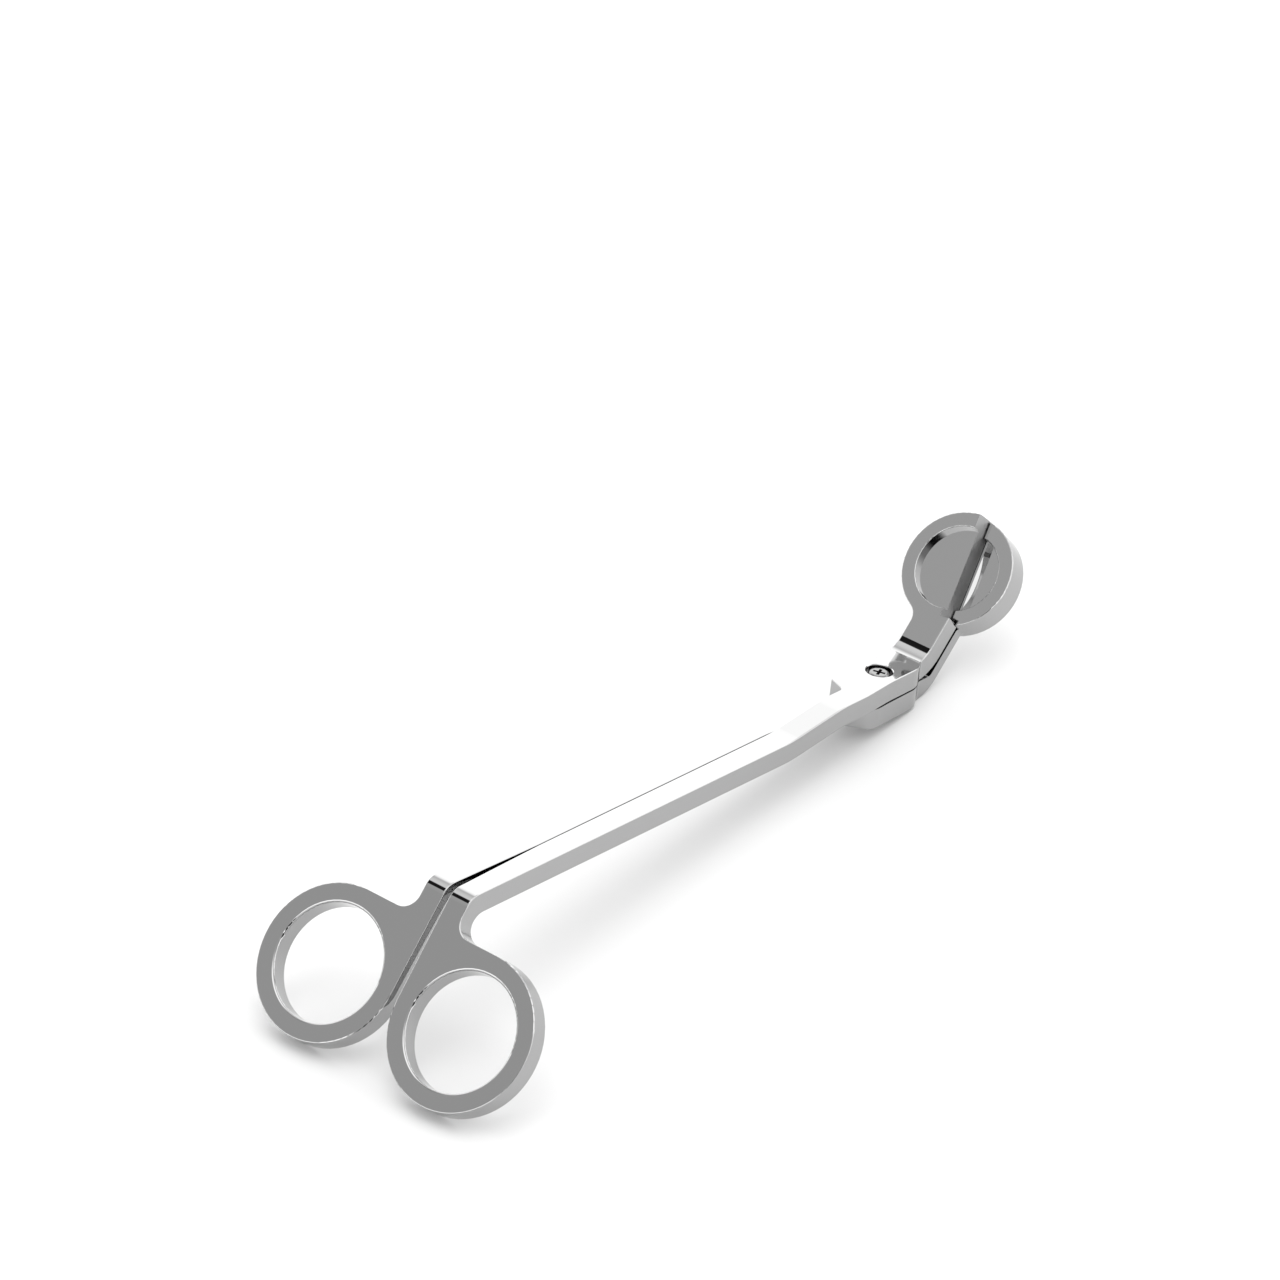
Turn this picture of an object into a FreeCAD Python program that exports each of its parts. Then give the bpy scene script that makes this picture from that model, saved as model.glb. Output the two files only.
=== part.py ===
import FreeCAD, Part
import math
import os

# Wick trimmer: two cranked levers that cross at a screw, each with a finger
# ring at the back and half of a round cutting head at the front.
#
# Everything is drawn in the "shank frame" and moved to the row frame at the end:
#   x runs forward along the shanks from the rear bend, y is to the left,
#   z is up, square to the shanks' flat tops, which lie at z = 0.
# The levers rise again at both ends: the ring plane and the head plane are
# tilted up towards the front by ring_tilt and head_tilt.
# Lengths are in millimetres and angles in degrees.

# ---- driving dimensions -------------------------------------------------
thickness = 4.2            # of each lever, but for the lower one's neck
lower_neck_thickness = 2.3
lap_gap = 0.15             # between the two crossing plates, and between the blades
neck_relief = 0.35         # how much further apart the two necks are than the blades
edge_round = 0.20          # on every outer edge

# the levers' side profile
ring_tilt = 54.1
head_tilt = 48.7
rear_top_radius = 3.5      # bend between ring and shank
rear_bottom_radius = 3.0
ramp_start = 90.5          # each lever steps up or down by half its thickness
ramp_end = 106.0
ramp_radius = 30.0
front_bend_x = 133.1
upper_bend_radius = 5.0    # inside the bend between plate and neck
lower_bend_radius = 1.6
lower_bend_outside = 9.0

# finger rings
ring_hole_radius = 11.1
ring_outer_radius = 14.76
ring_back = 21.8           # ring centre behind the rear bend, in the ring plane
ring_side = 15.55          # ring centre from the centre line
ring_hole_round = 0.45
bridge_fillet = 3.4        # from the bridge's front edge to the shank's outer side

# shanks, from above
shank_outer = 5.0          # from the centre line to a shank's outer side
shank_inner = 0.10         # from the centre line to a shank's inner side
neck_gap = 0.65            # inner side at the rear bend, from the centre line
neck_straight = 3.0        # length over which it stays there, each way
neck_gap_end = 24.0        # where that gap has closed along the shanks

# plates at the screw, from above
pivot_x = 122.6
shoulder_x = 112.8         # where the upper plate widens across the centre line
shoulder_start = 111.3
shoulder_radius = 1.2
lower_shoulder_start = 113.0   # and where the lower plate does
lower_shoulder_x = 116.0
lower_shoulder_side = 4.7
lower_shoulder_radius = 2.8
waist_start = 113.0        # the outer sides narrow between these two places
waist_end = 121.0
waist_radius = 30.0
plate_side = 4.35          # outer sides beside the screw, from the centre line
plate_left = 3.75          # left side of the upper plate, and of both at the bend
plate_right = 4.25         # right side of both near the bend
neck_left = 4.4            # sides of both necks
neck_right = 2.75
neck_left_start = 2.8      # how far behind the front bend each side begins
neck_right_start = 3.8
neck_left_radius = 4.0     # both ends of each slanting side are rounded
neck_right_radius = 5.0
neck_right_end_radius = 2.5   # but the right one's forward end is tighter
neck_start = 1.2           # and how far behind it the necks are fully formed

# cutting head, in the head plane; "forward" is from the front bend
head_forward = 18.5        # jaw centres
upper_jaw_side = 1.55      # jaw centres, left of the centre line
lower_jaw_side = 2.5
upper_jaw_radius = 11.25
lower_jaw_radius = 11.15
jaw_neck_fillet = 3.0
lower_neck_fillet = 1.1
upper_recess_radius = 8.35
upper_recess_depth = 1.3
recess_round = 0.15
lower_recess_radius = 7.85
recess_shift = 0.4         # lower recess centre, right of the lower jaw's centre
tray_depth = 1.0           # of the lower jaw's tray below its blade face
rim_height = 1.35          # of the lower jaw's rim above that face
rim_end_gap = 0.2          # between the rim's ends and the upper lever
rim_heel_forward = 9.8     # the rim begins ahead of the upper neck
cut_heel_side = -1.75      # the upper cutting edge, at the heel of the jaw
cut_heel_forward = 9.0
cut_angle = 9.5            # of the cutting edge to the centre line
cut_bevel = 14.5           # of the upper jaw's ground face, from upright
heel_notch = -0.1          # the ground face starts this far along its edge
blade_overlap = 1.2        # of the closed blades
lower_heel_forward = 9.8
lower_heel_slant = 2.0     # the lower jaw's left corner slants back by this much
tray_bevel_offset = 0.5    # from the upper cutting edge to the tray's bevel
tray_bevel_width = 0.9

# screw and washer
screw_radius = 1.75
screw_clearance = 0.05
screw_head_radius = 2.1
screw_head_height = 1.5
screw_head_drop = 0.3      # of the head's top below the upper plate
screw_head_round = 0.6
screw_head_play = 0.02     # under the head
screw_end_inset = 0.15
seat_radius = 2.6
seat_chamfer = 0.15
screw_recess_radius = 1.2
screw_recess_depth = 0.9
screw_recess_width = 0.6
screw_recess_turn = 20.0
washer_radius = 3.1
washer_thickness = 0.30
washer_clearance = 0.02

# ---- working sizes ------------------------------------------------------
half = thickness / 2.0
reach = 60.0               # longer than any half of a lever is wide
overrun = 8.0              # outlines run this far past the bend that ends them
embed = 1.0                # added faces start this deep in the body they join
shear_plane = -half        # underside of the upper plate
shear_level = -thickness - lap_gap      # blade face of the lower jaw, in the head plane
neck_level = shear_level - neck_relief  # upper face of the lower neck
front_edge_x = front_bend_x + half * math.tan(math.radians(head_tilt / 2.0))
washer_bottom = shear_plane - washer_clearance - washer_thickness
smooth_angle = 20.0        # faces that meet at less than this are one surface
probe_step = 0.02
tolerance = 0.01           # two places closer than this are the same


def vector(x, y, z):
    return FreeCAD.Vector(x, y, z)


def plane_placement(origin_x, origin_z, tilt):
    """Local x forward in the tilted plane, local y left, local z its normal."""
    turn = FreeCAD.Rotation(vector(0, 1, 0), -tilt)
    return FreeCAD.Placement(vector(origin_x, 0, origin_z), turn)


def rounded_wire(corners):
    """Closed wire through corners (x, y, radius), each rounded by its radius."""
    count = len(corners)
    starts = []
    ends = []
    middles = []
    for index in range(count):
        x, y, radius = corners[index]
        corner = vector(x, y, 0)
        before = vector(corners[index - 1][0], corners[index - 1][1], 0) - corner
        after_corner = corners[(index + 1) % count]
        after = vector(after_corner[0], after_corner[1], 0) - corner
        before.normalize()
        after.normalize()
        angle = before.getAngle(after)
        if radius <= 0:
            starts.append(corner)
            ends.append(corner)
            middles.append(None)
            continue
        back_off = radius / math.tan(angle / 2.0)
        towards_centre = before + after
        towards_centre.normalize()
        centre = corner + towards_centre * (radius / math.sin(angle / 2.0))
        starts.append(corner + before * back_off)
        ends.append(corner + after * back_off)
        middles.append(centre - towards_centre * radius)
    edges = []
    for index in range(count):
        if middles[index] is not None:
            arc = Part.Arc(starts[index], middles[index], ends[index])
            edges.append(arc.toShape())
        following = starts[(index + 1) % count]
        if ends[index].distanceToPoint(following) > 1e-6:
            edges.append(Part.makeLine(ends[index], following))
    return Part.Wire(edges)


def prism(corners, low, high, placement=None):
    """Solid over a rounded outline, from local z low to high."""
    face = Part.Face(rounded_wire(corners))
    face.translate(vector(0, 0, low))
    solid = face.extrude(vector(0, 0, high - low))
    if placement is not None:
        solid.Placement = placement.multiply(solid.Placement)
    return solid


def disc(centre_x, centre_y, radius, low, high, placement=None):
    """Cylinder along local z."""
    solid = Part.makeCylinder(radius, high - low, vector(centre_x, centre_y, low))
    if placement is not None:
        solid.Placement = placement.multiply(solid.Placement)
    return solid


def ribbon(profile):
    """Side profile, corners (x, z, radius), pulled across the whole width."""
    face = Part.Face(rounded_wire(profile))
    face.rotate(vector(0, 0, 0), vector(1, 0, 0), 90)
    face.translate(vector(0, reach, 0))
    return face.extrude(vector(0, -2.0 * reach, 0))


def offset_corner(x, z, tilt_before, tilt_after, distance):
    """Corner of a bent strip's other face, distance below the corner x, z."""
    middle = math.radians((tilt_before + tilt_after) / 2.0)
    half_turn = math.radians((tilt_after - tilt_before) / 2.0)
    length = distance / math.cos(half_turn)
    return x + length * math.sin(middle), z - length * math.cos(middle)


ring_plane = plane_placement(0.0, 0.0, ring_tilt)
head_plane = plane_placement(front_bend_x, half, head_tilt)


def along(start_x, start_z, tilt, distance):
    angle = math.radians(tilt)
    return start_x + distance * math.cos(angle), start_z + distance * math.sin(angle)


def neck_corner(z, head_drop):
    """Where a level face at z meets a neck's face, head_drop below the head plane."""
    slant = math.radians(head_tilt)
    run = (head_drop + (z - half) * math.cos(slant)) / math.sin(slant)
    return front_bend_x + run, z


def lever_profile(plate_top, head_drop, neck_thickness, bend_top_radius, bend_bottom_radius):
    """Side profile of one lever. head_drop is its neck's depth below the head plane."""
    ramp_tilt = math.degrees(math.atan2(plate_top, ramp_end - ramp_start))
    bend_x, bend_z = neck_corner(plate_top, head_drop)
    tail_x, tail_z = along(0.0, 0.0, ring_tilt, -reach)
    nose_x, nose_z = along(bend_x, bend_z, head_tilt, reach)
    top = [
        (tail_x, tail_z, 0.0),
        (0.0, 0.0, rear_top_radius),
        (ramp_start, 0.0, ramp_radius),
        (ramp_end, plate_top, ramp_radius),
        (bend_x, bend_z, bend_top_radius),
        (nose_x, nose_z, 0.0),
    ]
    low_rear = offset_corner(0.0, 0.0, ring_tilt, 0.0, thickness)
    low_start = offset_corner(ramp_start, 0.0, 0.0, ramp_tilt, thickness)
    low_end = offset_corner(ramp_end, plate_top, ramp_tilt, 0.0, thickness)
    low_bend = neck_corner(plate_top - thickness, head_drop + neck_thickness)
    low_tail = along(low_rear[0], low_rear[1], ring_tilt, -reach)
    low_nose = along(low_bend[0], low_bend[1], head_tilt, reach)
    bottom = [
        (low_nose[0], low_nose[1], 0.0),
        (low_bend[0], low_bend[1], bend_bottom_radius),
        (low_end[0], low_end[1], ramp_radius),
        (low_start[0], low_start[1], ramp_radius),
        (low_rear[0], low_rear[1], rear_bottom_radius),
        (low_tail[0], low_tail[1], 0.0),
    ]
    return top + bottom


def zone_box(first_x, first_tilt, last_x, last_tilt):
    """Space between two planes across the strip, each tilted from upright."""
    low = -reach
    high = reach
    corners = []
    for x, tilt, z in (
        (first_x, first_tilt, low),
        (last_x, last_tilt, low),
        (last_x, last_tilt, high),
        (first_x, first_tilt, high),
    ):
        corners.append((x - z * math.tan(math.radians(tilt)), z, 0.0))
    return ribbon(corners)


def arc_through(first, middle, last):
    """Arc between two outline points (x, y) by way of a third."""
    points = [vector(x, y, 0) for x, y in (first, middle, last)]
    return Part.Arc(*points).toShape()


def line_between(first, last):
    return Part.makeLine(vector(first[0], first[1], 0), vector(last[0], last[1], 0))


def wire_prism(edges, low, high, placement):
    """Solid over an outline given as edges, from local z low to high."""
    face = Part.Face(Part.Wire(edges))
    face.translate(vector(0, 0, low))
    solid = face.extrude(vector(0, 0, high - low))
    solid.Placement = placement.multiply(solid.Placement)
    return solid


def circle_crossing(centre, radius, point, angle, nearer):
    """Where a line through point at angle (degrees) crosses a circle."""
    step_x = math.cos(math.radians(angle))
    step_y = math.sin(math.radians(angle))
    from_x = point[0] - centre[0]
    from_y = point[1] - centre[1]
    middle = -(from_x * step_x + from_y * step_y)
    span = math.sqrt(middle ** 2 - (from_x ** 2 + from_y ** 2 - radius ** 2))
    run = middle - span if nearer else middle + span
    return point[0] + run * step_x, point[1] + run * step_y


def ring_mask(side):
    """Neck, bridge and ring in the ring plane; side is +1 left or -1 right."""
    start_x = -neck_straight
    to_centre_x = -ring_back - start_x
    to_centre_y = ring_side - neck_gap
    distance = math.hypot(to_centre_x, to_centre_y)
    spread = math.asin(ring_outer_radius / distance)
    heading = math.atan2(to_centre_y, to_centre_x) + spread
    run = math.sqrt(distance ** 2 - ring_outer_radius ** 2)
    touch = (start_x + run * math.cos(heading), neck_gap + run * math.sin(heading))
    back = (-ring_back - ring_outer_radius, ring_side)
    front_x = ring_outer_radius - ring_back
    fillet_x = front_x + bridge_fillet * (1.0 - math.sin(math.radians(45.0)))
    fillet_y = shank_outer + bridge_fillet * (1.0 - math.sin(math.radians(45.0)))
    points = {
        "front_in": (overrun, neck_gap),
        "straight": (start_x, neck_gap),
        "touch": touch,
        "back": back,
        "front": (front_x, ring_side),
        "fillet_out": (front_x, shank_outer + bridge_fillet),
        "fillet_mid": (fillet_x, fillet_y),
        "fillet_in": (front_x + bridge_fillet, shank_outer),
        "front_out": (overrun, shank_outer),
    }
    at = {name: (x, side * y) for name, (x, y) in points.items()}
    edges = [
        line_between(at["front_in"], at["straight"]),
        line_between(at["straight"], at["touch"]),
        arc_through(at["touch"], at["back"], at["front"]),
        line_between(at["front"], at["fillet_out"]),
        arc_through(at["fillet_out"], at["fillet_mid"], at["fillet_in"]),
        line_between(at["fillet_in"], at["front_out"]),
        line_between(at["front_out"], at["front_in"]),
    ]
    return wire_prism(edges, -reach, reach, ring_plane)


def jaw_edge(offset, forward):
    """Sideways place of the upper cutting edge, moved by offset to the left."""
    slope = math.tan(math.radians(cut_angle))
    return cut_heel_side + offset + (forward - cut_heel_forward) * slope


def outline_to_neck(side, plate):
    """Outer side of a shank and the plate ahead of it, up to the front bend."""
    return [
        (-overrun, side * shank_outer, 0.0),
        (waist_start, side * shank_outer, waist_radius),
        (waist_end, side * plate, waist_radius),
    ]


def neck_outline():
    """Sides of a plate where it runs into its neck, from left to right."""
    return [
        (front_bend_x - neck_left_start, plate_left, neck_left_radius),
        (front_bend_x - neck_start, neck_left, neck_left_radius),
        (front_bend_x + overrun, neck_left, 0.0),
        (front_bend_x + overrun, -neck_right, 0.0),
        (front_bend_x - neck_start, -neck_right, neck_right_end_radius),
        (front_bend_x - neck_right_start, -plate_right, neck_right_radius),
    ]


def upper_shank_outline():
    inner_side = [
        (-overrun, -neck_gap, 0.0),
        (neck_straight, -neck_gap, 0.0),
        (neck_gap_end, -shank_inner, 0.0),
        (shoulder_start, -shank_inner, shoulder_radius),
        (shoulder_x, plate_left, 0.0),
    ]
    return inner_side + neck_outline() + outline_to_neck(-1, plate_side)[::-1]


def lower_shank_outline():
    inner_side = [
        (lower_shoulder_x, -lower_shoulder_side, lower_shoulder_radius),
        (lower_shoulder_start, shank_inner, 0.0),
        (neck_gap_end, shank_inner, 0.0),
        (neck_straight, neck_gap, 0.0),
        (-overrun, neck_gap, 0.0),
    ]
    return outline_to_neck(1, plate_left) + neck_outline() + inner_side


def upper_head_mask():
    """Neck and round jaw, still full on the side that is ground away later."""
    centre = (head_forward, upper_jaw_side)
    left = circle_crossing(centre, upper_jaw_radius, (0.0, neck_left), 0.0, True)
    right = circle_crossing(centre, upper_jaw_radius, (0.0, -neck_right), 0.0, False)
    far = (head_forward, upper_jaw_side + upper_jaw_radius)
    edges = [
        line_between((-overrun, neck_left), left),
        arc_through(left, far, right),
        line_between(right, (-overrun, -neck_right)),
        line_between((-overrun, -neck_right), (-overrun, neck_left)),
    ]
    return wire_prism(edges, -reach, reach, head_plane)


def lower_head_mask():
    """Neck and round jaw, ending on the left at the lower cutting edge."""
    centre = (head_forward, lower_jaw_side)
    right = circle_crossing(centre, lower_jaw_radius, (0.0, -neck_right), 0.0, True)
    heel = (lower_heel_forward, jaw_edge(blade_overlap, lower_heel_forward))
    tip = circle_crossing(centre, lower_jaw_radius, heel, cut_angle, False)
    far = (head_forward, lower_jaw_side - lower_jaw_radius)
    neck = (lower_heel_forward - lower_heel_slant, neck_left)
    edges = [
        line_between((-overrun, -neck_right), right),
        arc_through(right, far, tip),
        line_between(tip, heel),
        line_between(heel, neck),
        line_between(neck, (-overrun, neck_left)),
        line_between((-overrun, neck_left), (-overrun, -neck_right)),
    ]
    return wire_prism(edges, -reach, reach, head_plane)


def bent_blank(profile, shank_outline, side, head_mask):
    """Strip with one outline behind the rear bend, one between and one ahead."""
    strip = ribbon(profile)
    rear = ring_mask(side).common(zone_box(-3.0 * reach, 0.0, 0.0, ring_tilt / 2.0))
    middle = prism(shank_outline, -reach, reach)
    middle = middle.common(zone_box(0.0, ring_tilt / 2.0, front_edge_x, head_tilt / 2.0))
    front = head_mask.common(zone_box(front_edge_x, head_tilt / 2.0, 4.0 * reach, 0.0))
    pieces = [strip.common(zone) for zone in (rear, middle, front)]
    blank = pieces[0].fuse(pieces[1:])
    return blank.removeSplitter().Solids[0]


def outward_normal(face, point):
    u, v = face.Surface.parameter(point)
    return face.normalAt(u, v)


def corner_edges(solid, convex):
    """Edges where two faces meet at a corner that sticks out or turns in."""
    found = []
    for edge in solid.Edges:
        faces = solid.ancestorsOfType(edge, Part.Face)
        if len(faces) != 2:
            continue
        middle = edge.valueAt((edge.FirstParameter + edge.LastParameter) / 2.0)
        first = outward_normal(faces[0], middle)
        second = outward_normal(faces[1], middle)
        if math.degrees(first.getAngle(second)) < smooth_angle:
            continue
        probe = middle - first * probe_step + second * (probe_step / 2.0)
        inside = solid.isInside(probe, probe_step / 100.0, True)
        if inside != convex:
            found.append(edge)
    return found


def local_point(placement, point):
    return placement.inverse().multVec(point)


def rounded(solid, radius, wanted):
    """Round the edges whose middle point passes the test wanted."""
    edges = []
    for edge in solid.Edges:
        middle = edge.valueAt((edge.FirstParameter + edge.LastParameter) / 2.0)
        if wanted(edge, middle):
            edges.append(edge)
    return solid.makeFillet(radius, edges)


def curve_of(edge):
    """The edge's curve, or None for the seams of rounded edges, which have none."""
    try:
        return edge.Curve
    except TypeError:
        return None


def upright_in(placement, edge):
    """True for a straight edge along the placement's local z."""
    if not isinstance(curve_of(edge), Part.Line):
        return False
    normal = placement.Rotation.multVec(vector(0, 0, 1))
    return abs(edge.Curve.Direction.dot(normal)) > 0.999


def round_jaw_corner(solid, side_y, radius):
    """Round the inner corner where a neck's side runs into its jaw."""
    def wanted(edge, middle):
        place = local_point(head_plane, middle)
        near = abs(place.y - side_y) < tolerance and 0.0 < place.x < head_forward
        return near and upright_in(head_plane, edge)
    return rounded(solid, radius, wanted)


def ring_hole(solid, side):
    """Finger hole with both rims rounded."""
    bore = disc(-ring_back, side * ring_side, ring_hole_radius, -reach, reach, ring_plane)
    solid = solid.cut(bore)

    def wanted(edge, middle):
        if not isinstance(curve_of(edge), Part.Circle):
            return False
        at_side = abs(edge.Curve.Center.y - side * ring_side) < tolerance
        return at_side and abs(edge.Curve.Radius - ring_hole_radius) < tolerance
    return rounded(solid, ring_hole_round, wanted)


def edge_placement(offset, level, lean):
    """Local x along the upper cutting edge, local z leaning to the left."""
    origin = vector(cut_heel_forward, cut_heel_side + offset, level)
    turn = FreeCAD.Rotation(vector(0, 0, 1), cut_angle)
    tip_over = FreeCAD.Rotation(vector(1, 0, 0), -lean)
    return head_plane.multiply(FreeCAD.Placement(origin, turn.multiply(tip_over)))


def block(placement, low, high):
    solid = Part.makeBox(high[0] - low[0], high[1] - low[1], high[2] - low[2], vector(*low))
    solid.Placement = placement.multiply(solid.Placement)
    return solid


def upper_lever():
    """Right ring, upper plate and left jaw."""
    profile = lever_profile(half, 0.0, thickness, upper_bend_radius,
                            upper_bend_radius + thickness)
    body = bent_blank(profile, upper_shank_outline(), -1, upper_head_mask())
    body = round_jaw_corner(body, neck_left, jaw_neck_fillet)
    body = body.makeFillet(edge_round, corner_edges(body, True))
    body = ring_hole(body, -1)
    # shallow round recess in the jaw
    recess = disc(head_forward, upper_jaw_side, upper_recess_radius,
                  -upper_recess_depth, reach, head_plane)
    body = body.cut(recess)

    def recess_rim(edge, middle):
        if not isinstance(curve_of(edge), Part.Circle):
            return False
        place = local_point(head_plane, middle)
        same_radius = abs(edge.Curve.Radius - upper_recess_radius) < tolerance
        return same_radius and abs(place.z) < tolerance
    body = rounded(body, recess_round, recess_rim)
    # ground face, leaning back from the cutting edge
    ground = block(edge_placement(0.0, -thickness, cut_bevel),
                   (heel_notch, -reach, -reach), (reach, 0.0, reach))
    body = body.cut(ground)
    # screw hole, and the seat that the screw's head turns in
    screw_hole = disc(pivot_x, 0.0, screw_radius + screw_clearance, -reach, reach)
    seat_depth = screw_head_drop + screw_head_height + screw_head_play
    seat = disc(pivot_x, 0.0, seat_radius, half - seat_depth, reach)
    mouth = Part.makeCone(seat_radius, seat_radius + 2.0 * seat_chamfer, 2.0 * seat_chamfer,
                          vector(pivot_x, 0, half - seat_chamfer))
    return body.cut(screw_hole.fuse([seat, mouth]))


def lower_rim():
    """Raised rim round the right jaw, from the heel to the tip."""
    top = shear_level + rim_height
    outer = disc(head_forward, lower_jaw_side, lower_jaw_radius,
                 neck_level - embed, top, head_plane)
    inner = disc(head_forward, lower_jaw_side - recess_shift, lower_recess_radius,
                 -reach, reach, head_plane)
    # its ends lean back with the upper jaw's ground face
    left = block(edge_placement(-rim_end_gap, -thickness, cut_bevel),
                 (-reach, 0.0, -reach), (reach, reach, reach))
    neck_side = -neck_right - rim_end_gap
    beside_neck = block(head_plane, (-reach, neck_side, -reach), (rim_heel_forward, reach, reach))
    rim = outer.cut([inner, left, beside_neck])

    def top_edge(edge, middle):
        return abs(local_point(head_plane, middle).z - top) < tolerance
    return rounded(rim, edge_round, top_edge)


def deep_jaw():
    """The right jaw is as thick as the shanks, so it stands below its thin neck."""
    bottom = shear_level - thickness
    jaw = disc(head_forward, lower_jaw_side, lower_jaw_radius, bottom, neck_level, head_plane)
    jaw = jaw.common(lower_head_mask())

    def bottom_rim(edge, middle):
        at_bottom = abs(local_point(head_plane, middle).z - bottom) < tolerance
        return at_bottom and isinstance(curve_of(edge), Part.Circle)
    return rounded(jaw, edge_round, bottom_rim)


def blade_face():
    """The lower jaw's upper face, which stands a little above its neck."""
    layer = block(head_plane, (lower_heel_forward, -reach, neck_level - embed),
                  (reach, reach, shear_level))
    return lower_head_mask().common(layer)


def on_shear_face(edge):
    """True for the lower lever's edges that must stay sharp to cut and lap."""
    middle = edge.valueAt((edge.FirstParameter + edge.LastParameter) / 2.0)
    place = local_point(head_plane, middle)
    if middle.x < front_bend_x:
        upper_side = middle.z > shear_plane - half
    else:
        upper_side = place.z > neck_level - lower_neck_thickness / 2.0
    forward_right = middle.y < 1.0 and middle.x > lower_shoulder_start - edge_round
    on_jaw = middle.x > front_bend_x and place.x > lower_heel_forward - lower_heel_slant + tolerance
    return upper_side and (forward_right or on_jaw)


def lower_lever():
    """Left ring, lower plate and right jaw with its tray."""
    plate_top = shear_plane - lap_gap
    profile = lever_profile(plate_top, -neck_level, lower_neck_thickness,
                            lower_bend_radius, lower_bend_outside)
    body = bent_blank(profile, lower_shank_outline(), 1, lower_head_mask())
    body = round_jaw_corner(body, -neck_right, lower_neck_fillet)
    outer = [edge for edge in corner_edges(body, True) if not on_shear_face(edge)]
    body = body.makeFillet(edge_round, outer)
    body = body.fuse([deep_jaw(), blade_face(), lower_rim()]).removeSplitter().Solids[0]
    body = ring_hole(body, 1)
    # tray that catches the trimmed wick
    tray = disc(head_forward, lower_jaw_side - recess_shift, lower_recess_radius,
                shear_level - tray_depth, reach, head_plane)
    lean = math.degrees(math.atan2(tray_bevel_width, tray_depth))
    wall = block(edge_placement(-tray_bevel_offset, shear_level, lean),
                 (-reach, 0.0, -reach), (reach, reach, reach))
    body = body.cut(tray.cut(wall))
    screw_hole = disc(pivot_x, 0.0, screw_radius, -reach, reach)
    washer_seat = disc(pivot_x, 0.0, washer_radius + screw_clearance,
                       washer_bottom, shear_plane)
    return body.cut(screw_hole.fuse(washer_seat))


def pivot_screw():
    """Cross-recessed screw, threaded into the lower plate."""
    head_top = half - screw_head_drop
    head_low = head_top - screw_head_height
    end = shear_plane - lap_gap - thickness + screw_end_inset
    head = disc(pivot_x, 0.0, screw_head_radius, head_low, head_top)

    def top_edge(edge, middle):
        at_top = abs(middle.z - head_top) < tolerance
        return at_top and isinstance(curve_of(edge), Part.Circle)
    head = rounded(head, screw_head_round, top_edge)
    shank = disc(pivot_x, 0.0, screw_radius, end, head_low)
    screw = head.fuse(shank)
    half_width = screw_recess_width / 2.0
    for turn in (screw_recess_turn, screw_recess_turn + 90.0):
        slot = Part.makeBox(2.0 * screw_recess_radius, screw_recess_width,
                            screw_recess_depth + embed,
                            vector(-screw_recess_radius, -half_width, 0))
        spin = FreeCAD.Rotation(vector(0, 0, 1), turn)
        slot.Placement = FreeCAD.Placement(
            vector(pivot_x, 0, head_top - screw_recess_depth), spin)
        screw = screw.cut(slot)
    return screw


def pivot_washer():
    """Thin washer in the lower plate, which the upper plate turns on."""
    top = shear_plane - washer_clearance
    ring = disc(pivot_x, 0.0, washer_radius, washer_bottom, top)
    return ring.cut(disc(pivot_x, 0.0, screw_radius + screw_clearance, -reach, reach))


def resting_tilt():
    """Nose-down tilt at which the rings' back edges and the front bend touch the table."""
    inset = edge_round
    rear_along = -ring_back - ring_outer_radius + inset
    rear_down = thickness - inset
    angle = math.radians(ring_tilt)
    rear_x = rear_along * math.cos(angle) + rear_down * math.sin(angle)
    rear_z = rear_along * math.sin(angle) - rear_down * math.cos(angle)
    plate_bottom = shear_plane - lap_gap - thickness
    low_x, _ = neck_corner(plate_bottom, lower_neck_thickness - neck_level)
    centre_x, centre_z = offset_corner(low_x, plate_bottom, 0.0, head_tilt, -lower_bend_outside)
    run = centre_x - rear_x
    rise = centre_z - rear_z
    slope = math.atan2(rise, run)
    slope += math.asin((inset - lower_bend_outside) / math.hypot(run, rise))
    return math.degrees(slope)


def main():
    os.makedirs("parts", exist_ok=True)
    shapes = {
        "upper_lever": upper_lever(),
        "lower_lever": lower_lever(),
        "pivot_screw": pivot_screw(),
        "pivot_washer": pivot_washer(),
    }
    tilt = FreeCAD.Rotation(vector(0, 1, 0), resting_tilt())
    turned = {}
    for name, shape in shapes.items():
        shape = shape.Solids[0]
        shape.Placement = FreeCAD.Placement(vector(0, 0, 0), tilt).multiply(shape.Placement)
        turned[name] = shape
    # origin: under the middle of the whole trimmer, on the table
    box = Part.makeCompound(list(turned.values())).optimalBoundingBox(False, False)
    shift = vector(-(box.XMin + box.XMax) / 2.0, -(box.YMin + box.YMax) / 2.0, -box.ZMin)
    for name, shape in turned.items():
        shape.translate(shift)
        shape.exportStep("parts/" + name + ".step")
        print(name, shape.isValid(), len(shape.Faces), round(shape.Volume, 1))
    print("size", round(box.XLength, 2), round(box.YLength, 2), round(box.ZLength, 2))
    print("resting tilt", round(resting_tilt(), 4))
    for name, point in (
        ("pivot", vector(pivot_x, 0, 0)),
        ("left ring", ring_plane.multVec(vector(-ring_back, ring_side, -half))),
        ("right ring", ring_plane.multVec(vector(-ring_back, -ring_side, -half))),
    ):
        place = tilt.multVec(point) + shift
        print(name, [round(value, 4) for value in place])
    print("pivot axis", [round(value, 6) for value in tilt.multVec(vector(0, 0, 1))])
    ring_normal = tilt.multVec(ring_plane.Rotation.multVec(vector(0, 0, 1)))
    print("ring axis", [round(value, 6) for value in ring_normal])


if __name__ == "__main__":
    main()
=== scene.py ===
import math

import bpy
from mathutils import Matrix, Vector

# Wick trimmer in mirror-polished steel, lying closed on a white table.
# The four CAD nodes keep their shapes and get their materials here; the rest
# is the table, the light and the camera. Lengths are in metres.

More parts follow.
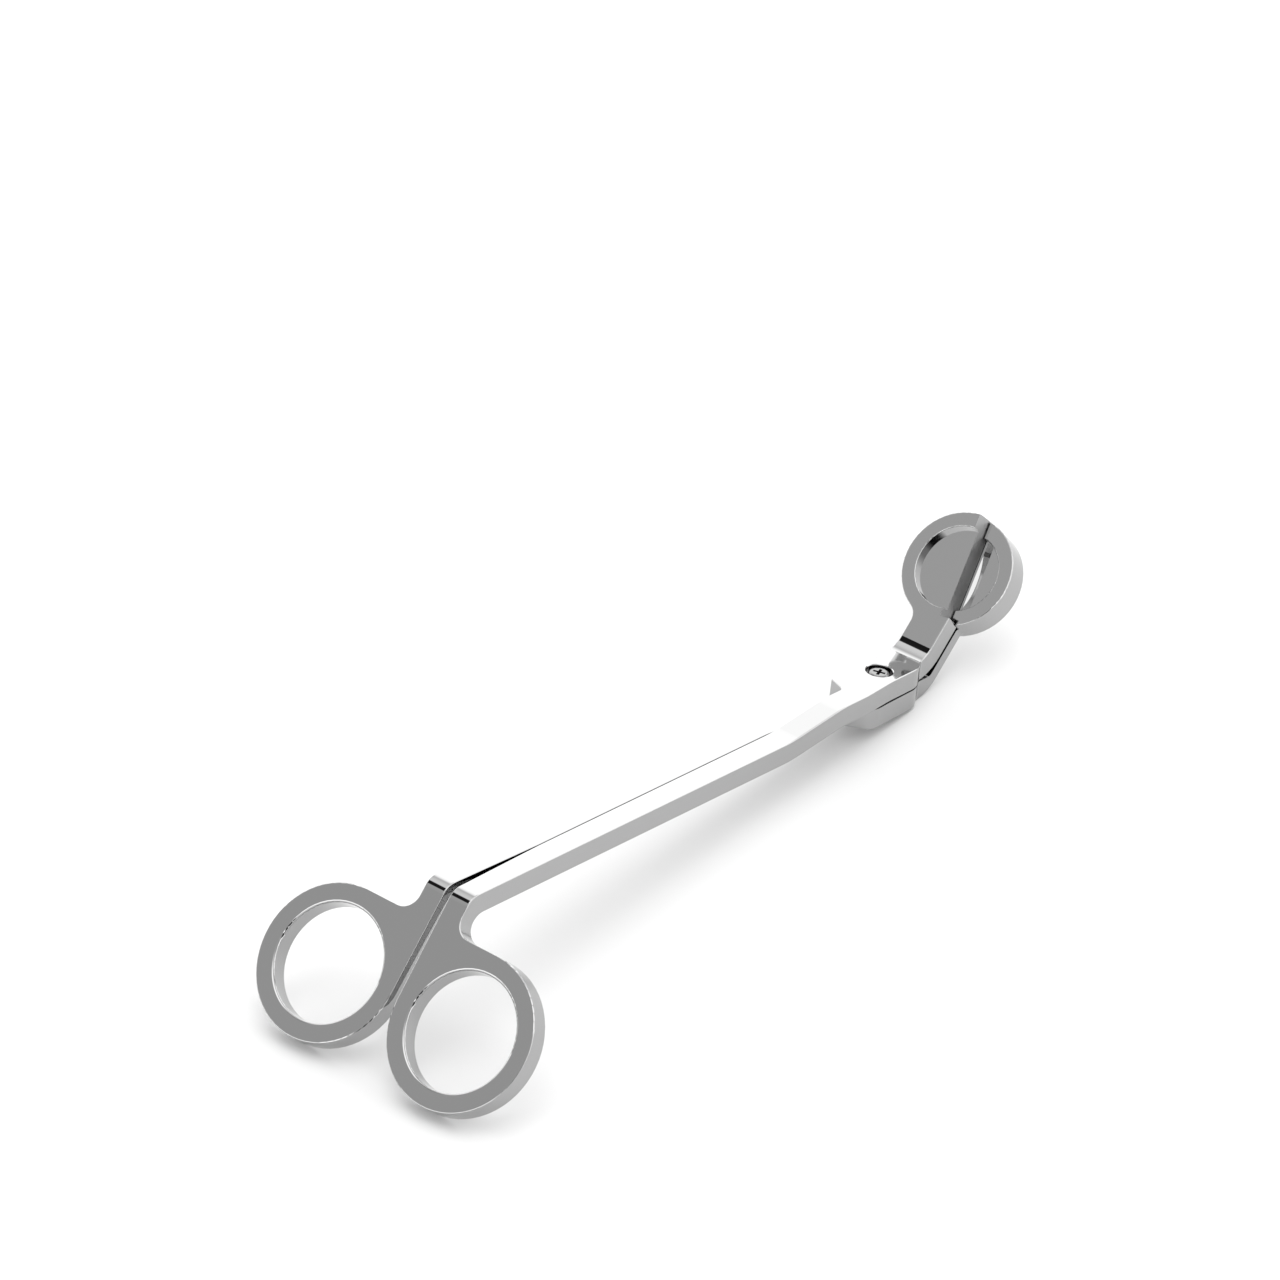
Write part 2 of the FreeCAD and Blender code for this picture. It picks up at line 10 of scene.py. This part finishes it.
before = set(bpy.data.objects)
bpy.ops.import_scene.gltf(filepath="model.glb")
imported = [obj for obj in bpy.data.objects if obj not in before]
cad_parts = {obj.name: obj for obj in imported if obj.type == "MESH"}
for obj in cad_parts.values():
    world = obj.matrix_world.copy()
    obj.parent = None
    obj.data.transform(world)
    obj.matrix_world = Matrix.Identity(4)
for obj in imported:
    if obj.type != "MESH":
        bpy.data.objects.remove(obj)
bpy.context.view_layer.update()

# ---- polished steel -----------------------------------------------------
STEEL_COLOUR = 0.40
STEEL_ROUGHNESS = (0.015, 0.06)    # cleanest and most handled places
SMUDGE_SCALE = 55.0
SMUDGE_RANGE = (0.35, 0.75)        # noise levels that are clean and smudged
HAIRLINE_STRETCH = (45.0, 2600.0, 2600.0)   # long marks along the tool
HAIRLINE_TURN = 3.0                # degrees off the tool's length
HAIRLINE_DEPTH = 6.0e-8
RIPPLE_SCALE = 260.0               # faint unevenness left by the polishing
RIPPLE_DEPTH = 2.2e-6
EDGE_WIDTH = 0.0003
EDGE_FLATNESS = (0.995, 0.90)      # agreement with the softened normal, flat to edge
EDGE_WEAR_SCALE = 420.0
EDGE_ROUGHNESS = 0.10              # added where an edge has been rubbed
SCRATCH_SCALE = 900.0
SCRATCH_STRETCH = (0.08, 1.0, 1.0)
SCRATCH_TURN = 24.0                # degrees off the tool's length
SCRATCH_RANGE = (0.62, 0.70)       # only the noise's peaks are scratches
SCRATCH_ROUGHNESS = 0.03
SCRATCH_DEPTH = 2.0e-7

# ---- ground steel, on the cutting edge ----------------------------------
# Outward normal of the upper jaw's ground face, as the CAD builds it.
GROUND_NORMAL = (-0.0335, -0.9549, 0.2951)
GROUND_COLOUR = 0.32
GROUND_ROUGHNESS = (0.30, 0.46)
GROUND_FACING = (0.992, 0.996)              # how nearly a surface has to face that way
GROUND_LINES = (3200.0, 60.0, 60.0)         # grinding marks across the edge
GROUND_DEPTH = 1.5e-6

# ---- screw and washer ---------------------------------------------------
GRAIN_SCALE = 2400.0
PATCH_SCALE = 500.0
SCREW_COLOUR = 0.20
BRASS_COLOUR = (0.56, 0.43, 0.20)

# ---- light --------------------------------------------------------------
# The steel mirrors the room. Its brightness is set by height above the
# horizon, (degrees, brightness) joined smoothly, once for the side behind the
# rings and once for the side ahead of the cutting head.
ROOM_BEHIND = (
    (-90.0, 0.95),
    (-2.0, 1.05),
    (4.0, 2.60),
    (26.0, 2.60),
    (32.0, 0.69),
    (39.0, 0.69),
    (48.5, 0.78),
    (51.5, 0.78),
    (60.0, 1.50),
    (70.0, 2.40),
    (90.0, 2.60),
)
ROOM_AHEAD = (
    (-90.0, 0.95),
    (-2.0, 1.05),
    (4.0, 2.60),
    (24.0, 2.60),
    (36.0, 2.20),
    (46.0, 1.05),
    (56.0, 1.40),
    (75.0, 2.00),
    (90.0, 2.60),
)
ROOM_BLEND = (-0.14, 0.10)         # forward share of a direction, behind to ahead
# Dark patches in the room: the direction of each, and how nearly another
# direction has to agree with it (1 is exactly) to be dark, or at its edge.
DARK_PATCHES = (
    ((-0.703, -0.643, 0.302), 0.955, 0.905),    # low, on the side that the tool is seen from
    ((-0.199, 0.509, 0.838), 0.992, 0.985),     # high, on the other side
)
DARK_PATCH_LEVEL = 0.02
TABLE_WHITE = 0.70
TABLE_ROUGHNESS = 0.9
TABLE_SIZE = 8.0
TOP_LIGHT_SIZE = 1.2
TOP_LIGHT_HEIGHT = 1.5
TOP_LIGHT_POWER = 1.9

# ---- camera -------------------------------------------------------------
CAMERA_TARGET = Vector((0.02854, 0.03694, 0.014))
CAMERA_DISTANCE = 1.4988
CAMERA_AZIMUTH = -49.806    # degrees; 0 looks along +Y
CAMERA_ELEVATION = 34.975
CAMERA_ROLL = -0.001
FOCAL_WIDTHS = 6.25         # focal length in picture widths
SENSOR = 36.0               # millimetres


class Nodes:
    """Short way to add and join shader nodes."""

    def __init__(self, tree):
        self.tree = tree
        self.tree.nodes.clear()

    def add(self, kind, **settings):
        node = self.tree.nodes.new(kind)
        for name, value in settings.items():
            setattr(node, name, value)
        return node

    def join(self, output, socket):
        self.tree.links.new(output, socket)

    def put(self, given, socket):
        """Set a socket to a number or join it to another node's output."""
        if isinstance(given, (int, float)):
            socket.default_value = given
        else:
            self.join(given, socket)

    def math(self, kind, first, second=0.0):
        node = self.add("ShaderNodeMath", operation=kind)
        self.put(first, node.inputs[0])
        self.put(second, node.inputs[1])
        return node.outputs[0]

    def dot(self, first, second):
        """Dot product of an output and a fixed direction."""
        node = self.add("ShaderNodeVectorMath", operation="DOT_PRODUCT")
        self.join(first, node.inputs[0])
        node.inputs[1].default_value = second
        return node.outputs["Value"]

    def noise(self, place, scale, detail=3.0):
        node = self.add("ShaderNodeTexNoise")
        node.inputs["Scale"].default_value = scale
        node.inputs["Detail"].default_value = detail
        self.join(place, node.inputs["Vector"])
        return node.outputs["Fac"]

    def stretched(self, place, scale, turn=0.0):
        node = self.add("ShaderNodeMapping")
        node.inputs["Scale"].default_value = scale
        node.inputs["Rotation"].default_value = (0.0, 0.0, math.radians(turn))
        self.join(place, node.inputs["Vector"])
        return node.outputs["Vector"]

    def spread(self, value, low, high, to_low=0.0, to_high=1.0, smooth=False):
        """Map the range low to high on to another, clamped at its ends."""
        node = self.add("ShaderNodeMapRange")
        if smooth:
            node.interpolation_type = "SMOOTHSTEP"
        node.inputs["From Min"].default_value = low
        node.inputs["From Max"].default_value = high
        node.inputs["To Min"].default_value = to_low
        node.inputs["To Max"].default_value = to_high
        self.join(value, node.inputs["Value"])
        return node.outputs["Result"]

    def bump(self, height, depth, under=None):
        node = self.add("ShaderNodeBump")
        node.inputs["Distance"].default_value = depth
        self.join(height, node.inputs["Height"])
        if under is not None:
            self.join(under, node.inputs["Normal"])
        return node.outputs["Normal"]

    def metal_shader(self, colour, roughness, normal):
        shader = self.add("ShaderNodeBsdfPrincipled")
        if isinstance(colour, float):
            colour = (colour, colour, colour)
        shader.inputs["Base Color"].default_value = (*colour, 1.0)
        shader.inputs["Metallic"].default_value = 1.0
        self.put(roughness, shader.inputs["Roughness"])
        self.join(normal, shader.inputs["Normal"])
        return shader.outputs[0]

    def surface(self, shader):
        output = self.add("ShaderNodeOutputMaterial")
        self.join(shader, output.inputs["Surface"])


def new_material(name):
    material = bpy.data.materials.new(name)
    material.use_nodes = True
    return material, Nodes(material.node_tree)


def edge_share(nodes):
    """Near 1 on rounded edges and corners, 0 on the flats."""
    flat = nodes.add("ShaderNodeNewGeometry").outputs["True Normal"]
    bevel = nodes.add("ShaderNodeBevel", samples=4)
    bevel.inputs["Radius"].default_value = EDGE_WIDTH
    turn = nodes.add("ShaderNodeVectorMath", operation="DOT_PRODUCT")
    nodes.join(flat, turn.inputs[0])
    nodes.join(bevel.outputs["Normal"], turn.inputs[1])
    return nodes.spread(turn.outputs["Value"], *EDGE_FLATNESS)


def polished_steel(name, ground):
    """Mirror steel with smudges, hairlines, ripple and rubbed edges.

    With ground set, the cutting face gets a darker, matte, ground finish.
    """
    material, nodes = new_material(name)
    where = nodes.add("ShaderNodeTexCoord")
    place = where.outputs["Object"]
    smudges = nodes.spread(nodes.noise(place, SMUDGE_SCALE, 5.0), *SMUDGE_RANGE, smooth=True)
    hairlines = nodes.noise(nodes.stretched(place, HAIRLINE_STRETCH, HAIRLINE_TURN), 1.0)
    ripple = nodes.noise(place, RIPPLE_SCALE, 1.0)
    along = nodes.stretched(place, SCRATCH_STRETCH, SCRATCH_TURN)
    scratches = nodes.spread(nodes.noise(along, SCRATCH_SCALE, 2.0), *SCRATCH_RANGE)

    rough = nodes.spread(smudges, 0.0, 1.0, *STEEL_ROUGHNESS)
    marks = nodes.math("MULTIPLY", scratches, smudges)
    marks = nodes.math("MULTIPLY", marks, SCRATCH_ROUGHNESS)
    rough = nodes.math("ADD", rough, marks)
    wear = nodes.noise(place, EDGE_WEAR_SCALE)
    rubbed = nodes.math("MULTIPLY", edge_share(nodes), wear)
    rough = nodes.math("ADD", rough, nodes.math("MULTIPLY", rubbed, EDGE_ROUGHNESS))

    normal = nodes.bump(ripple, RIPPLE_DEPTH)
    normal = nodes.bump(hairlines, HAIRLINE_DEPTH, normal)
    normal = nodes.bump(scratches, SCRATCH_DEPTH, normal)
    shader = nodes.metal_shader(STEEL_COLOUR, rough, normal)
    if ground:
        lines = nodes.noise(nodes.stretched(place, GROUND_LINES), 1.0)
        grit = nodes.spread(lines, 0.2, 0.8, *GROUND_ROUGHNESS)
        ground_shader = nodes.metal_shader(GROUND_COLOUR, grit, nodes.bump(lines, GROUND_DEPTH))
        facing = nodes.dot(where.outputs["Normal"], GROUND_NORMAL)
        mix = nodes.add("ShaderNodeMixShader")
        nodes.join(nodes.spread(facing, *GROUND_FACING), mix.inputs["Fac"])
        nodes.join(shader, mix.inputs[1])
        nodes.join(ground_shader, mix.inputs[2])
        shader = mix.outputs[0]
    nodes.surface(shader)
    return material


def turned_metal(name, colour, rough_low, rough_high, depth):
    """Small turned part: fine even grain with duller and brighter places."""
    material, nodes = new_material(name)
    place = nodes.add("ShaderNodeTexCoord").outputs["Object"]
    grain = nodes.noise(place, GRAIN_SCALE, 4.0)
    patches = nodes.noise(place, PATCH_SCALE)
    rough = nodes.spread(patches, 0.3, 0.7, rough_low, rough_high)
    rubbed = nodes.math("MULTIPLY", edge_share(nodes), -0.5 * rough_low)
    rough = nodes.math("ADD", rough, rubbed)
    nodes.surface(nodes.metal_shader(colour, rough, nodes.bump(grain, depth)))
    return material


def dress(node, material):
    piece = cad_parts[node]
    piece.data.materials.clear()
    piece.data.materials.append(material)


def table_top():
    half = TABLE_SIZE / 2.0
    mesh = bpy.data.meshes.new("table")
    corners = [(-half, -half, 0), (half, -half, 0), (half, half, 0), (-half, half, 0)]
    mesh.from_pydata(corners, [], [(0, 1, 2, 3)])
    floor = bpy.data.objects.new("table", mesh)
    bpy.context.scene.collection.objects.link(floor)
    material, nodes = new_material("table_white")
    shader = nodes.add("ShaderNodeBsdfPrincipled")
    shader.inputs["Base Color"].default_value = (TABLE_WHITE, TABLE_WHITE, TABLE_WHITE, 1.0)
    shader.inputs["Roughness"].default_value = TABLE_ROUGHNESS
    shader.inputs["Specular IOR Level"].default_value = 0.0
    nodes.surface(shader.outputs[0])
    mesh.materials.append(material)


def band_colours(nodes, height, bands, brightest):
    """Share of the brightest level at each height, from a list of bands."""
    colours = nodes.add("ShaderNodeValToRGB")
    ramp = colours.color_ramp
    while len(ramp.elements) < len(bands):
        ramp.elements.new(0.5)
    for element, (degrees, level) in zip(ramp.elements, bands):
        element.position = (degrees + 90.0) / 180.0
        share = level / brightest
        element.color = (share, share, share, 1.0)
    nodes.join(height, colours.inputs["Fac"])
    return colours.outputs["Color"]


def room():
    """World whose brightness depends on height, and on front or back."""
    world = bpy.data.worlds.new("room")
    bpy.context.scene.world = world
    world.use_nodes = True
    nodes = Nodes(world.node_tree)
    split = nodes.add("ShaderNodeSeparateXYZ")
    direction = nodes.add("ShaderNodeTexCoord").outputs["Generated"]
    nodes.join(direction, split.inputs[0])
    height = nodes.math("ARCSINE", split.outputs["Z"])
    height = nodes.spread(height, -math.pi / 2.0, math.pi / 2.0)
    brightest = max(level for _, level in ROOM_BEHIND + ROOM_AHEAD)
    mix = nodes.add("ShaderNodeMix", data_type="RGBA")
    nodes.join(nodes.spread(split.outputs["X"], *ROOM_BLEND, smooth=True), mix.inputs["Factor"])
    nodes.join(band_colours(nodes, height, ROOM_BEHIND, brightest), mix.inputs["A"])
    nodes.join(band_colours(nodes, height, ROOM_AHEAD, brightest), mix.inputs["B"])
    strength = brightest
    for centre, dark, edge in DARK_PATCHES:
        share = nodes.spread(nodes.dot(direction, centre), dark, edge, DARK_PATCH_LEVEL, 1.0)
        strength = nodes.math("MULTIPLY", share, strength)
    background = nodes.add("ShaderNodeBackground")
    nodes.join(strength, background.inputs["Strength"])
    nodes.join(mix.outputs["Result"], background.inputs["Color"])
    output = nodes.add("ShaderNodeOutputWorld")
    nodes.join(background.outputs[0], output.inputs["Surface"])


def top_light():
    """Wide soft light overhead for the table; the steel doesn't mirror it."""
    data = bpy.data.lights.new("top_light", "AREA")
    data.shape = "DISK"
    data.size = TOP_LIGHT_SIZE
    data.energy = TOP_LIGHT_POWER
    light = bpy.data.objects.new("top_light", data)
    light.location = (0.0, 0.0, TOP_LIGHT_HEIGHT)
    light.visible_glossy = False
    light.visible_camera = False
    bpy.context.scene.collection.objects.link(light)


def camera():
    azimuth = math.radians(CAMERA_AZIMUTH)
    elevation = math.radians(CAMERA_ELEVATION)
    back = Vector((
        math.sin(azimuth) * math.cos(elevation),
        -math.cos(azimuth) * math.cos(elevation),
        math.sin(elevation),
    ))
    data = bpy.data.cameras.new("camera")
    data.sensor_width = SENSOR
    data.lens = FOCAL_WIDTHS * SENSOR
    data.clip_start = 0.1
    data.clip_end = 50.0
    seat = bpy.data.objects.new("camera", data)
    turn = (-back).to_track_quat("-Z", "Y").to_matrix().to_4x4()
    roll = Matrix.Rotation(math.radians(CAMERA_ROLL), 4, "Z")
    place = Matrix.Translation(CAMERA_TARGET + back * CAMERA_DISTANCE)
    seat.matrix_world = place @ turn @ roll
    bpy.context.scene.collection.objects.link(seat)
    bpy.context.scene.camera = seat


dress("upper_lever", polished_steel("polished_steel_upper", True))
dress("lower_lever", polished_steel("polished_steel_lower", False))
dress("pivot_screw", turned_metal("screw_steel", SCREW_COLOUR, 0.12, 0.25, 4.0e-7))
dress("pivot_washer", turned_metal("washer_brass", BRASS_COLOUR, 0.25, 0.4, 8.0e-7))

table_top()
room()
top_light()
camera()
bpy.context.scene.view_settings.view_transform = "Standard"
